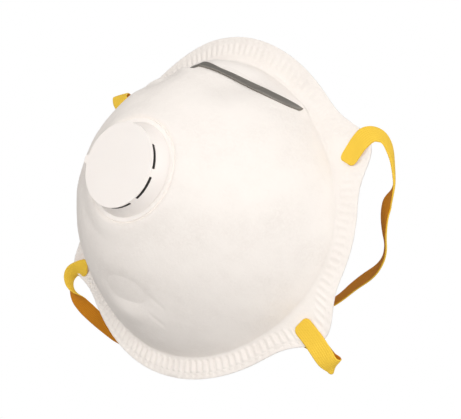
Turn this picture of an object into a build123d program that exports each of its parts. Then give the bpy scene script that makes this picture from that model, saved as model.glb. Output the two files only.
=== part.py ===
from build123d import *
import math
import os

# Disposable cup-shaped dust mask with an exhalation valve, in millimetres.
# X is the wearer's left, +Y points back towards the face, +Z is up.
# The origin is the middle of the face seal: the valve looks along -Y and the nose is at the top.
# Positions on the cup are given by phi, the angle from the nose (+Z) towards +X, and by the
# radius from the Y axis.

# ---- driving dimensions -------------------------------------------------------------------------

# Foot of the dome, where the cup wall meets the flange: a cosine series in phi.
FOOT_SERIES = (61.7, -5.2, 0.0, 0.96, 0.68, -0.2)
# Flange around the foot, and the four tabs that carry the straps.
FLANGE_SERIES = (9.2, 1.3, 0.9)
TAB_UPPER = (8.8, 62.9, 9.75)  # reach, angle from the nose, spread in degrees
TAB_LOWER = (8.5, 121.4, 8.45)
# Face seal: the cheeks curve back and the nose comes forward.
CHEEK_CURVE = 0.001
CHIN_CURVE = 0.0003
NOSE_FORWARD = 3.4
NOSE_SPREAD = 30.0
# Dome.
CUP_DEPTH = 47.5
BOSS_RADIUS = 19.0
FOOT_FILLET = 2.4
WALL_SLOPE = 2.0
# Hollows either side of the nose ridge.
HOLLOW_DEPTH = 10.6
HOLLOW_ANGLE = 20.5
HOLLOW_SPREAD = 13.6
HOLLOW_PLACE = 0.86
HOLLOW_REACH = 0.266

# Layers from the front, as thickness in the dome; the welded flange squeezes them together.
LAYERS = (("outer_cover", 0.5), ("filter_media", 0.8), ("support_shell", 1.2), ("inner_liner", 0.5))
FLANGE_SQUEEZE = 0.5
WALL = sum(thickness for name, thickness in LAYERS)

# Profiles in each half of the cup's free-form surfaces, and the fit of the small strips.
HALF_COLUMNS = 40
SURFACE_TOLERANCE = 0.01

# Exhalation valve, on the Y axis. The seat is a plate with a neck that goes through the cup's port.
PORT_RADIUS = 15.3
SEAT_RADIUS = 20.8
SEAT_PLATE = 1.2
SEAT_GAP = 0.1
SEAT_CHAMFER = 0.4
NECK_RADIUS = 15.0
NECK_BORE = 13.4
NECK_REACH = 2.0  # how far the neck stands out behind the liner
LIP_RADIUS = 12.6
LIP_HEIGHT = 1.1
LIP_EDGE = (-0.3, 0.5)  # inner and outer corner of the lip's top, from LIP_RADIUS
LIP_FOOT = (-0.6, 0.8)  # the same at its foot
LIP_LEDGE = 0.9  # depth of the neck's inner ledge below the plate's face
RING_WALL = 0.9  # ring on the seat that centres the cover
RING_HEIGHT = 0.8
SPOKE_WIDTH = 1.4
SPOKE_TOP = 0.2  # below the plate's face, as are the next three
SPOKE_BACK = 1.4
HUB_BACK = 1.6
HUB_RADIUS = 2.6
# Flap: a silicone disc, cut straight at the top where a bar of the cover holds it.
FLAP_RADIUS = 13.7
FLAP_THICKNESS = 0.5
FLAP_TOP = 13.1
FLAP_GAP = 0.12
BAR_SIZE = (10.0, 1.4)
BAR_Z = 12.4
BAR_GAP = 0.3
# Cover: a lid on ribs over a conical skirt, with slots between the ribs except at the top.
CAP_RADIUS = 16.7
CAP_FRONT = 8.6
LID_EDGE = 0.7
LID_ROUNDING = 0.5
SLOT_HEIGHT = 1.6
SKIRT_RADIUS = 18.9
SKIRT_WALL = 1.2
SKIRT_REBATE = 1.6
RIB_COUNT = 8
RIB_ANGLE = 12.0
FIRST_RIB = 1.5
RIB_INSET = 0.05
RIB_OVERLAP = 0.1
CLOSED_ANGLE = 102.0  # wall without slots at the top, over the flap's clamped edge
# Retainer ring inside the cup.
RETAINER_RADIUS = 19.0
RETAINER_PLATE = 0.8
RETAINER_HEIGHT = 1.8
RETAINER_COLLAR = 1.6
RETAINER_GAP = 0.02

# Nose clip and foam.
# The clip runs level over the nose and then falls at a steady slope.
CLIP_WIDTH = 4.4
CLIP_THICKNESS = 0.9
CLIP_MIDDLE_Z = 50.0
CLIP_END_X = 38.3
CLIP_LEVEL = 7.0
CLIP_BEND = 3.0
CLIP_SLOPE = 0.29
FOAM_WIDTH = 11.0
FOAM_THICKNESS = 3.0
FOAM_END_X = 36.0

# Elastic straps.
STRAP_WIDTH = 8.0
STRAP_THICKNESS = 0.8
CONTACT_GAP = 0.05


# ---- shape of the cup -----------------------------------------------------------------------------

def cosine_series(terms, phi):
    return sum(size * math.cos(order * phi) for order, size in enumerate(terms))


def bump(value, centre, spread):
    return math.exp(-(((value - centre) / spread) ** 2))


def foot_radius(phi):
    return cosine_series(FOOT_SERIES, phi)


def rim_radius(phi):
    side = abs(math.degrees(phi))
    tabs = sum(reach * bump(side, angle, spread) for reach, angle, spread in (TAB_UPPER, TAB_LOWER))
    return foot_radius(phi) + cosine_series(FLANGE_SERIES, phi) + tabs


def seal_y(x, z):
    """Front of the flange over the point (x, z)."""
    phi = math.degrees(math.atan2(x, z))
    chin = -CHIN_CURVE * z * abs(z)
    return CHEEK_CURVE * x * x + chin - NOSE_FORWARD * bump(phi, 0, NOSE_SPREAD)


def front_y(x, z):
    """Outer surface of the mask over the point (x, z)."""
    phi = math.atan2(x, z)
    radius = math.hypot(x, z)
    foot = foot_radius(phi)
    if radius >= foot:
        base = seal_y(x, z)
        rise = -WALL_SLOPE * (radius - foot)
    else:
        base = seal_y(foot * math.sin(phi), foot * math.cos(phi))
        reach = max(0.0, (radius - BOSS_RADIUS) / (foot - BOSS_RADIUS))
        shoulder = 1.28 - 0.04 * math.cos(2 * phi)
        crown = 1.325 - 0.19 * math.cos(phi)
        share = (1 - reach ** (2 / shoulder)) ** (crown / 2)
        side = abs(math.degrees(phi))
        hollow = HOLLOW_DEPTH * bump(side, HOLLOW_ANGLE, HOLLOW_SPREAD) * 4 * reach * (1 - reach)
        hollow = hollow * bump(reach, HOLLOW_PLACE, HOLLOW_REACH)
        rise = (base + CUP_DEPTH) * share - hollow
    return base - (rise + math.hypot(rise, FOOT_FILLET)) / 2


def wall_share(x, z):
    """1 in the dome and FLANGE_SQUEEZE in the flange, with a short ramp at the foot."""
    past_foot = math.hypot(x, z) - foot_radius(math.atan2(x, z))
    ramp = 1 / (1 + math.exp(1.6 * past_foot + 1.5))
    return FLANGE_SQUEEZE + (1 - FLANGE_SQUEEZE) * ramp


def skin_point(x, z, depth):
    """Point at a depth behind the outer surface, or in front of it where depth is negative."""
    step = 0.05
    slope_x = (front_y(x + step, z) - front_y(x - step, z)) / (2 * step)
    slope_z = (front_y(x, z + step) - front_y(x, z - step)) / (2 * step)
    size = math.sqrt(1 + slope_x ** 2 + slope_z ** 2)
    move = depth * wall_share(x, z) / size if depth > 0 else depth / size
    return Vector(x - slope_x * move, front_y(x, z) + move, z - slope_z * move)


# ---- solids between two offset surfaces --------------------------------------------------------

def border_edges(face):
    """The four border edges of a patch, as the patch's own corners order them."""
    return sorted(face.edges(), key=lambda edge: (round((edge @ 0.5).X, 2), round((edge @ 0.5).Z, 2)))


def solid_between(near_rows, far_rows):
    """Closed solid between two grids of points that have the same layout."""
    near = Face.make_surface_from_array_of_points(near_rows, tol=SURFACE_TOLERANCE)
    far = Face.make_surface_from_array_of_points(far_rows, tol=SURFACE_TOLERANCE)
    sides = [Face.make_surface_from_curves(one, other)
             for one, other in zip(border_edges(near), border_edges(far))]
    return Solid(Shell([near, far] + sides))


def dome_radii(phi):
    """Radii from the valve port to the rim, closer together round the foot."""
    foot = foot_radius(phi)
    rim = rim_radius(phi)
    boss = [PORT_RADIUS, (PORT_RADIUS + BOSS_RADIUS) / 2]
    dome = [BOSS_RADIUS + (foot - BOSS_RADIUS) * math.sin(math.pi / 2 * i / 14) for i in range(14)]
    flange = [foot + (rim - foot) * (i / 6) ** 1.3 for i in range(7)]
    return boss + dome + flange


def half_grid(depth):
    """Rows of points from the nose round the wearer's left to the chin."""
    rows = []
    for i in range(HALF_COLUMNS + 1):
        phi = math.pi * i / HALF_COLUMNS
        rows.append([skin_point(r * math.sin(phi), r * math.cos(phi), depth) for r in dome_radii(phi)])
    for row in (rows[0], rows[-1]):
        for point in row:
            point.X = 0.0
    return rows


def skinned_face(rows):
    """Smooth surface through profiles that share their spline parameters."""
    steps = [sum((row[k + 1] - row[k]).length for row in rows) for k in range(len(rows[0]) - 1)]
    shared = [sum(steps[:k]) / sum(steps) for k in range(len(steps) + 1)]
    profiles = [Wire([Edge.make_spline(row, parameters=shared)]) for row in rows]
    return Shell.make_loft(profiles).faces()[0]


def cup_layer(front_depth, back_depth):
    """One layer of the cup: one half is built from two surfaces, and mirrored."""
    front = skinned_face(half_grid(front_depth))
    back = skinned_face(half_grid(back_depth))
    half = [front, back]
    for one, other in zip(cup_borders(front), cup_borders(back)):
        half.append(Face.make_surface_from_curves(one, other))
    return Solid(Shell(half + [mirror(face, about=Plane.YZ) for face in half]))


def cup_borders(face):
    """The port edge and the rim edge of a half cup: the two borders that leave the middle plane."""
    sides = sorted(face.edges(), key=lambda edge: abs((edge @ 0.5).X))[-2:]
    return sorted(sides, key=lambda edge: edge.length)


def surface_strip(centre_line, half_width, near, far):
    """Strip lying on the cup along centre_line, a list of (x, z), between two depths."""
    grids = []
    for depth in (near, far):
        rows = []
        for i, (x, z) in enumerate(centre_line):
            before = centre_line[max(i - 1, 0)]
            after = centre_line[min(i + 1, len(centre_line) - 1)]
            along = Vector(after[0] - before[0], after[1] - before[1]).normalized()
            across = Vector(-along.Y, along.X)
            width = half_width(i / (len(centre_line) - 1))
            here = Vector(x, front_y(x, z), z)
            probe = Vector(x + across.X, front_y(x + across.X, z + across.Y), z + across.Y)
            pace = width / (probe - here).length
            rows.append([skin_point(x + across.X * pace * s, z + across.Y * pace * s, depth)
                         for s in (-1, -0.5, 0, 0.5, 1)])
        grids.append(rows)
    return solid_between(grids[0], grids[1])


# ---- nose clip and foam ----------------------------------------------------------------------------

def clip_line(end_x, count=25):
    points = []
    for i in range(count):
        x = end_x * (2 * i / (count - 1) - 1)
        drop = CLIP_SLOPE * CLIP_BEND * math.log(1 + math.exp((abs(x) - CLIP_LEVEL) / CLIP_BEND))
        points.append((x, CLIP_MIDDLE_Z - drop))
    return points


def rounded_width(width, rounding):
    """Half width along a strip that narrows at its two ends."""
    return lambda share: width / 2 * min(1.0, 0.45 + 0.55 * min(share, 1 - share) / rounding)


def nose_clip():
    return surface_strip(clip_line(CLIP_END_X), rounded_width(CLIP_WIDTH, 0.03),
                         -CONTACT_GAP, -CONTACT_GAP - CLIP_THICKNESS)


def nose_foam():
    return surface_strip(clip_line(FOAM_END_X, 17), rounded_width(FOAM_WIDTH, 0.06),
                         WALL + 3 * CONTACT_GAP, WALL + 3 * CONTACT_GAP + FOAM_THICKNESS)


# ---- exhalation valve --------------------------------------------------------------------------------

BOSS_Y = -CUP_DEPTH
PLATE_BACK = BOSS_Y - SEAT_GAP
SEAT_FRONT = PLATE_BACK - SEAT_PLATE
LIP_FRONT = SEAT_FRONT - LIP_HEIGHT
FLAP_BACK = LIP_FRONT - FLAP_GAP
CAP_Y = BOSS_Y - CAP_FRONT
LID_BACK = CAP_Y + LID_EDGE
FACING_FRONT = Plane(origin=(0, 0, 0), x_dir=(1, 0, 0), z_dir=(0, -1, 0))
LARGE = 100.0


def turned(profile):
    """Solid of revolution about the Y axis from (radius, y) corners."""
    outline = Polyline(*[(radius, y, 0) for radius, y in profile], close=True)
    return revolve(make_face(outline), axis=Axis.Y)


def slab(width, height, centre_x, centre_z, back, front):
    """Block with its XZ middle given, between two Y positions."""
    return Pos(centre_x, (back + front) / 2, centre_z) * Box(width, abs(back - front), height)


def sector(angle, phi):
    """Wedge in front of the boss that spans an angle, centred on phi from the nose."""
    half = math.radians(angle / 2)
    reach = 2 * CAP_RADIUS
    wedge = make_face(Polyline((0, 0), (reach * math.cos(half), reach * math.sin(half)),
                               (reach * math.cos(half), -reach * math.sin(half)), close=True))
    return Rot(0, phi - 90, 0) * extrude(FACING_FRONT * wedge, amount=LARGE)


def valve_seat():
    """Plate on the outer cover, neck through the layers, ring for the cover, sealing lip and spokes."""
    neck_back = BOSS_Y + WALL + NECK_REACH
    ring = SKIRT_RADIUS - SKIRT_WALL - CONTACT_GAP
    ring_front = SEAT_FRONT - RING_HEIGHT
    ledge = SEAT_FRONT + LIP_LEDGE
    body = turned([(NECK_BORE, neck_back), (NECK_RADIUS, neck_back), (NECK_RADIUS, PLATE_BACK),
                   (SEAT_RADIUS, PLATE_BACK), (SEAT_RADIUS - SEAT_CHAMFER, SEAT_FRONT),
                   (ring, SEAT_FRONT), (ring, ring_front),
                   (ring - RING_WALL, ring_front), (ring - RING_WALL, SEAT_FRONT),
                   (LIP_RADIUS + LIP_FOOT[1], SEAT_FRONT), (LIP_RADIUS + LIP_EDGE[1], LIP_FRONT),
                   (LIP_RADIUS + LIP_EDGE[0], LIP_FRONT), (LIP_RADIUS + LIP_FOOT[0], ledge),
                   (NECK_BORE, ledge)])
    spoke_length = 2 * (NECK_BORE + NECK_RADIUS) / 2
    for turn in (0, 90):
        spoke = slab(spoke_length, SPOKE_WIDTH, 0, 0, SEAT_FRONT + SPOKE_BACK, SEAT_FRONT + SPOKE_TOP)
        body += Rot(0, turn, 0) * spoke
    hub = turned([(0, SEAT_FRONT + HUB_BACK), (HUB_RADIUS, SEAT_FRONT + HUB_BACK),
                  (HUB_RADIUS, SEAT_FRONT), (0, SEAT_FRONT)])
    return body + hub


def valve_flap():
    """Silicone disc with its top cut straight where it is held."""
    front = FLAP_BACK - FLAP_THICKNESS
    disc = turned([(0, FLAP_BACK), (FLAP_RADIUS, FLAP_BACK), (FLAP_RADIUS, front), (0, front)])
    cut = slab(2 * FLAP_RADIUS, FLAP_RADIUS, 0, FLAP_TOP + FLAP_RADIUS / 2, FLAP_BACK + 1, front - 1)
    return disc - cut


def valve_cover():
    """Cap with a conical skirt, slots under its lid and a bar that holds the flap's top edge."""
    foot_y = SEAT_FRONT - CONTACT_GAP
    sill = LID_BACK + SLOT_HEIGHT
    inner = CAP_RADIUS - SKIRT_WALL
    foot_inner = SKIRT_RADIUS - SKIRT_WALL
    skirt = turned([(SKIRT_RADIUS, foot_y), (CAP_RADIUS, sill), (inner, sill),
                    (foot_inner, foot_y - SKIRT_REBATE), (foot_inner, foot_y)])
    lid = turned([(0, LID_BACK), (CAP_RADIUS, LID_BACK), (CAP_RADIUS, CAP_Y + LID_ROUNDING),
                  (CAP_RADIUS - LID_ROUNDING, CAP_Y), (0, CAP_Y)])
    outer = CAP_RADIUS - RIB_INSET
    wall = turned([(inner, sill + RIB_OVERLAP), (outer, sill + RIB_OVERLAP),
                   (outer, LID_BACK - RIB_OVERLAP), (inner, LID_BACK - RIB_OVERLAP)])
    cover = skirt + lid + (wall & sector(CLOSED_ANGLE, FIRST_RIB))
    for i in range(RIB_COUNT):
        cover += wall & sector(RIB_ANGLE, FIRST_RIB + 360 / RIB_COUNT * i)
    bar_back = FLAP_BACK - FLAP_THICKNESS - BAR_GAP
    return cover + slab(*BAR_SIZE, 0, BAR_Z, bar_back, LID_BACK - LID_EDGE / 2)


def valve_retainer():
    """Ring inside the cup that locks on the seat's neck."""
    back = BOSS_Y + WALL + 2 * CONTACT_GAP
    bore = NECK_RADIUS + RETAINER_GAP
    return turned([(bore, back), (RETAINER_RADIUS, back), (RETAINER_RADIUS, back + RETAINER_PLATE),
                   (NECK_RADIUS + RETAINER_COLLAR, back + RETAINER_HEIGHT), (bore, back + RETAINER_HEIGHT)])


# ---- straps ------------------------------------------------------------------------------------------

# Middle lines of the two free loops, hanging behind the mask, from the wearer's left to right.
UPPER_LOOP = ((67.6, 4.2, 40.8), (71.5, 8.5, 40), (75, 12, 31), (75.5, 17, 17), (73.5, 24, 2),
              (68, 34, -10.5), (55, 44, -19), (40, 54, -28), (22, 65, -33), (0, 71, -34),
              (-26, 68, -31), (-49, 58, -22), (-66, 46, -10), (-76, 33, 8), (-79.5, 22, 26),
              (-77, 13.5, 38), (-72, 8, 41.5), (-67.6, 4.2, 40.8))
LOWER_LOOP = ((71.6, 5.2, -48), (75.5, 8.5, -50), (75, 15, -50.5), (66, 22, -48), (50, 30, -46.5),
              (32, 39, -49), (10, 46, -55), (-14, 48, -63), (-36, 46, -70), (-56, 41, -73),
              (-67, 32, -69), (-73, 22, -61), (-75, 12, -52.5), (-71.6, 5.2, -48))
# Ends welded on the tabs: from the free end on the flange to the tab's edge, as (x, z).
UPPER_END = ((59.9, 25.0), (65.3, 36.6))
LOWER_END = ((60.0, -39.5), (67.0, -45.4))


def arc_radii(points):
    """The largest arc at each corner that leaves a tenth of the shorter run straight."""
    radii = []
    for i in range(1, len(points) - 1):
        before = Vector(*points[i]) - Vector(*points[i - 1])
        after = Vector(*points[i + 1]) - Vector(*points[i])
        turn = math.radians(before.get_angle(after))
        radii.append(0.45 * min(before.length, after.length) / math.tan(turn / 2))
    return radii


def strap_loop(name, points, width_direction):
    """Flat band along a path of straight runs and tangent arcs."""
    radii = arc_radii(points)
    path = FilletPolyline(*points, radius=radii)
    start = Vector(*points[0])
    heading = (Vector(*points[1]) - start).normalized()
    section_plane = Plane(origin=start, x_dir=heading.cross(width_direction), z_dir=heading)
    band = sweep(section_plane * Rectangle(STRAP_THICKNESS, STRAP_WIDTH), path=path)
    print(name, "length", round(path.length, 1), "volume share",
          round(band.volume / (path.length * STRAP_WIDTH * STRAP_THICKNESS), 3),
          "radii", [round(radius, 1) for radius in radii])
    return band


def strap_end(line, side):
    """Strap end lying on the front of a tab; side is 1 on the wearer's left and -1 on the right."""
    (x0, z0), (x1, z1) = line
    centre = [(side * (x0 + (x1 - x0) * i / 8), z0 + (z1 - z0) * i / 8) for i in range(9)]
    return surface_strip(centre, lambda share: STRAP_WIDTH / 2, -CONTACT_GAP, -CONTACT_GAP - STRAP_THICKNESS)


# ---- assembly ------------------------------------------------------------------------------------------

def all_parts():
    parts = {}
    depth = 0.0
    for name, thickness in LAYERS:
        parts[name] = cup_layer(depth, depth + thickness)
        depth += thickness
    parts["nose_clip"] = nose_clip()
    parts["nose_foam"] = nose_foam()
    parts["valve_seat"] = valve_seat()
    parts["valve_flap"] = valve_flap()
    parts["valve_cover"] = valve_cover()
    parts["valve_retainer"] = valve_retainer()
    parts["upper_strap"] = strap_loop("upper strap", UPPER_LOOP, Vector(0, 0.77, 0.64))
    parts["lower_strap"] = strap_loop("lower strap", LOWER_LOOP, Vector(0, 0.6, 0.8))
    for side, word in ((1, "left"), (-1, "right")):
        parts["upper_strap_end_" + word] = strap_end(UPPER_END, side)
        parts["lower_strap_end_" + word] = strap_end(LOWER_END, side)
    return parts


os.makedirs("parts", exist_ok=True)
for node, shape in all_parts().items():
    export_step(shape, os.path.join("parts", node + ".step"))
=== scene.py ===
import math

import bpy
import numpy as np
from mathutils import Matrix, Vector


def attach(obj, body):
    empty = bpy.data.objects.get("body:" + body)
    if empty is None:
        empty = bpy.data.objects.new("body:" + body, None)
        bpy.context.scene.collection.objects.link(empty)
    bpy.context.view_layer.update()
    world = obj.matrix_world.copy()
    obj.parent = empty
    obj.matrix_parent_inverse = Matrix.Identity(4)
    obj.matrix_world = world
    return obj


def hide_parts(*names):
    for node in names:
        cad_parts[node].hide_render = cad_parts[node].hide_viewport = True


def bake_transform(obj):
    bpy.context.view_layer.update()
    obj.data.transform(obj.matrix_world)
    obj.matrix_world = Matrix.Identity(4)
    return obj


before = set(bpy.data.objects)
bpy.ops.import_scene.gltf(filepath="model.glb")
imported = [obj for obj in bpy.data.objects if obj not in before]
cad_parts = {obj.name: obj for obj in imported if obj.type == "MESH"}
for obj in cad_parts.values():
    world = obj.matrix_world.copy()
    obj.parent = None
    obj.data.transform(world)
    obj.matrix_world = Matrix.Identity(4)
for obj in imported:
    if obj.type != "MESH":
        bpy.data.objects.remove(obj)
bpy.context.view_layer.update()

MM = 0.001

# Directions: X is the wearer's left, -Y is the way the valve looks, Z is up.
# Shape functions work in millimetres; meshes are made in metres.

# ---- camera ----------------------------------------------------------------------------------------


def make_camera():
    """Camera low and to the wearer's left of the mask, rolled so that the mask leans in the view."""
    target = Vector((8.5, 6.9, -1.9)) * MM
    azimuth, elevation, roll = math.radians(37.8), math.radians(-4.0), math.radians(15.5)
    distance = 427.6 * MM
    away = Vector((math.sin(azimuth) * math.cos(elevation), -math.cos(azimuth) * math.cos(elevation),
                   math.sin(elevation)))
    level_right = (-away).cross(Vector((0, 0, 1))).normalized()
    level_up = level_right.cross(-away)
    right = level_right * math.cos(roll) + level_up * math.sin(roll)
    up = level_up * math.cos(roll) - level_right * math.sin(roll)
    data = bpy.data.cameras.new("camera")
    data.sensor_width = 36
    data.lens = 79.5
    data.clip_start = 0.01
    camera = bpy.data.objects.new("camera", data)
    camera.matrix_world = Matrix.Translation(target + away * distance) @ Matrix(
        (right, up, away)).transposed().to_4x4()
    bpy.context.scene.collection.objects.link(camera)
    bpy.context.scene.camera = camera


make_camera()

# ---- mesh and node helpers ---------------------------------------------------------------------


def link(obj):
    bpy.context.scene.collection.objects.link(obj)
    return obj


def mesh_object(name, points, faces, smooth=True):
    """Object from points in millimetres."""
    mesh = bpy.data.meshes.new(name)
    mesh.from_pydata((np.asarray(points, float) * MM).tolist(), [], faces)
    mesh.polygons.foreach_set("use_smooth", [smooth] * len(mesh.polygons))
    mesh.update()
    return link(bpy.data.objects.new(name, mesh))


def grid_faces(rows, columns, closed_columns=False, start=0, flip=False):
    """Quads of a grid whose points are stored row by row."""
    row_index, column_index = np.meshgrid(np.arange(rows - 1),
                                          np.arange(columns if closed_columns else columns - 1),
                                          indexing="ij")
    a = row_index * columns + column_index
    b = row_index * columns + (column_index + 1) % columns
    quads = np.stack([a, b, b + columns, a + columns], -1).reshape(-1, 4) + start
    return (quads[:, ::-1] if flip else quads).tolist()


def point_attribute(obj, name, values):
    attribute = obj.data.attributes.new(name, "FLOAT", "POINT")
    attribute.data.foreach_set("value", np.asarray(values, np.float32).ravel())


def add_uv(obj, point_uv):
    """UV map from one (u, v) a point."""
    layer = obj.data.uv_layers.new(name="UVMap")
    loops = np.zeros(len(obj.data.loops), int)
    obj.data.loops.foreach_get("vertex_index", loops)
    layer.data.foreach_set("uv", np.asarray(point_uv, np.float32)[loops].ravel())


def smooth_step(value, low, high):
    t = np.clip((value - low) / (high - low), 0, 1)
    return t * t * (3 - 2 * t)


def window(value, low, high, blur):
    return smooth_step(value, low - blur, low + blur) * (1 - smooth_step(value, high - blur, high + blur))


def waves(points, wavelength, seed, count=40):
    """Smooth random field, about -1 to 1, as a sum of plane waves in random directions."""
    random = np.random.default_rng(seed)
    direction = random.normal(size=(count, 3))
    direction /= np.linalg.norm(direction, axis=1)[:, None]
    number = 2 * math.pi / (wavelength * random.uniform(0.7, 1.4, count))
    phase = random.uniform(0, 2 * math.pi, count)
    total = np.zeros(points.shape[:-1])
    for k in range(count):
        total += np.cos(points @ direction[k] * number[k] + phase[k])
    return total / math.sqrt(count / 2) / 1.6


class Nodes:
    """Short hand for building a node material."""

    def __init__(self, name):
        self.material = bpy.data.materials.new(name)
        self.material.use_nodes = True
        self.tree = self.material.node_tree
        self.shader = self.tree.nodes["Principled BSDF"]

    def add(self, kind, **settings):
        node = self.tree.nodes.new(kind)
        for key, value in settings.items():
            if hasattr(node, key):
                setattr(node, key, value)
            else:
                node.inputs[key.replace("_", " ")].default_value = value
        return node

    def link(self, source, target):
        self.tree.links.new(source, target)

    def coords(self, scale=(1, 1, 1), uv=False):
        source = self.add("ShaderNodeTexCoord").outputs["UV" if uv else "Object"]
        mapping = self.add("ShaderNodeMapping")
        mapping.inputs["Scale"].default_value = scale
        self.link(source, mapping.inputs["Vector"])
        return mapping.outputs["Vector"]

    def noise(self, vector, scale, detail=4.0, roughness=0.55, distortion=0.0):
        node = self.add("ShaderNodeTexNoise", Scale=scale, Detail=detail, Roughness=roughness,
                        Distortion=distortion)
        self.link(vector, node.inputs["Vector"])
        return node.outputs["Fac"]

    def ramp(self, value, stops):
        node = self.add("ShaderNodeValToRGB")
        elements = node.color_ramp.elements
        while len(elements) < len(stops):
            elements.new(0.5)
        for element, (place, colour) in zip(elements, stops):
            element.position = place
            element.color = (*colour, 1)
        self.link(value, node.inputs["Fac"])
        return node.outputs["Color"]

    def math(self, operation, one, other=None):
        node = self.add("ShaderNodeMath", operation=operation)
        for socket, value in zip(node.inputs, (one, other)):
            if value is None:
                continue
            if isinstance(value, (int, float)):
                socket.default_value = value
            else:
                self.link(value, socket)
        return node.outputs["Value"]

    def mix(self, share, one, other):
        node = self.add("ShaderNodeMix", data_type="RGBA")
        for socket, value in ((node.inputs[0], share), (node.inputs[6], one), (node.inputs[7], other)):
            if isinstance(value, (int, float)):
                socket.default_value = value
            elif isinstance(value, tuple):
                socket.default_value = (*value, 1)
            else:
                self.link(value, socket)
        return node.outputs[2]

    def bump(self, height, strength, distance):
        node = self.add("ShaderNodeBump")
        node.inputs["Strength"].default_value = strength
        node.inputs["Distance"].default_value = distance
        self.link(height, node.inputs["Height"])
        return node.outputs["Normal"]

    def set(self, **values):
        for key, value in values.items():
            socket = self.shader.inputs[key.replace("_", " ")]
            if isinstance(value, tuple):
                socket.default_value = (*value, 1)[:len(socket.default_value)]
            elif isinstance(value, (int, float)):
                socket.default_value = value
            else:
                self.link(value, socket)
        return self.material


def give(obj, *materials):
    obj.data.materials.clear()
    for material in materials:
        obj.data.materials.append(material)


# ---- materials ---------------------------------------------------------------------------------------

BLACK, WHITE = (0, 0, 0), (1, 1, 1)


def nonwoven(name, light, dark, bond_size, fuzz=0.5):
    """Spunbond or needled web: tangled fibres, faint bond points and cloudy thickness."""
    n = Nodes(name)
    place = n.coords()
    fibres = n.noise(place, 1500, 6, 0.62, 2.2)
    tangle = n.noise(place, 520, 5, 0.6, 1.4)
    clouds = n.noise(place, 60, 3, 0.5)
    bonds = n.add("ShaderNodeTexVoronoi", feature="F1", Scale=1000 / bond_size, Randomness=0.35)
    n.link(place, bonds.inputs["Vector"])
    pits = n.ramp(bonds.outputs["Distance"], [(0.12, BLACK), (0.34, WHITE)])
    mottled = n.mix(n.ramp(tangle, [(0.3, BLACK), (0.72, WHITE)]), dark, light)
    base = n.mix(n.ramp(clouds, [(0.35, BLACK), (0.65, WHITE)]), mottled, light)
    relief = n.math("ADD", n.math("MULTIPLY", fibres, 0.6), n.math("MULTIPLY", tangle, 0.9))
    relief = n.math("ADD", relief, n.math("MULTIPLY", pits, 0.35))
    return n.set(Base_Color=base, Roughness=0.92, Specular_IOR_Level=0.18, Sheen_Weight=0.12 * fuzz,
                 Sheen_Roughness=0.6, Normal=n.bump(relief, 0.35, 0.00022))


def moulded_plastic(name, light, dark, roughness):
    """Injection moulded part with a fine spark-eroded grain and faint flow clouds."""
    n = Nodes(name)
    place = n.coords()
    grain = n.noise(place, 2600, 3, 0.5)
    flow = n.noise(place, 90, 3, 0.5, 0.6)
    base = n.mix(flow, dark, light)
    rough = n.math("ADD", n.math("MULTIPLY", grain, 0.16), roughness - 0.08)
    return n.set(Base_Color=base, Roughness=rough, Subsurface_Weight=0.06, Subsurface_Scale=0.001,
                 Subsurface_Radius=(1.0, 0.9, 0.8), Normal=n.bump(grain, 0.12, 0.00008))


def rolled_aluminium():
    """Soft aluminium strip: rolling lines along it, small dings and a satin oxide."""
    n = Nodes("rolled_aluminium")
    along = n.coords((40, 900, 3200), uv=True)
    lines = n.noise(along, 1.0, 4, 0.6)
    place = n.coords()
    dings = n.noise(place, 260, 4, 0.6)
    tone = n.mix(lines, (0.2, 0.187, 0.168), (0.36, 0.34, 0.31))
    rough = n.math("ADD", n.math("MULTIPLY", dings, 0.2), 0.34)
    relief = n.math("ADD", n.math("MULTIPLY", lines, 0.5), n.math("MULTIPLY", dings, 0.8))
    return n.set(Base_Color=tone, Metallic=1.0, Roughness=rough, Normal=n.bump(relief, 0.25, 0.0001))


def open_foam():
    """Soft foam with fine open cells, with painted shade inside the cells."""
    n = Nodes("open_foam")
    place = n.coords()
    cells = n.add("ShaderNodeTexVoronoi", feature="DISTANCE_TO_EDGE", Scale=1500)
    n.link(place, cells.inputs["Vector"])
    walls = n.ramp(cells.outputs["Distance"], [(0.02, WHITE), (0.2, BLACK)])
    # Painted shade: the tone is darker away from the cell walls, inside the open cells.
    tone = n.mix(walls, (0.62, 0.61, 0.58), (0.88, 0.87, 0.84))
    return n.set(Base_Color=tone, Roughness=0.95, Specular_IOR_Level=0.1, Normal=n.bump(walls, 0.8, 0.0003))


def silicone():
    """Diaphragm rubber painted near black as painted shade behind the slots, with a powdery bloom."""
    n = Nodes("flap_silicone")
    place = n.coords()
    haze = n.noise(place, 400, 4, 0.6)
    # Painted shade: the flap's tone is near black so that the valve's slots show dark.
    tone = n.mix(haze, (0.045, 0.042, 0.04), (0.085, 0.08, 0.075))
    return n.set(Base_Color=tone, Roughness=0.55, Normal=n.bump(haze, 0.1, 0.00005))


WELD_TINT = (0.94, 0.9, 0.8)


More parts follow.
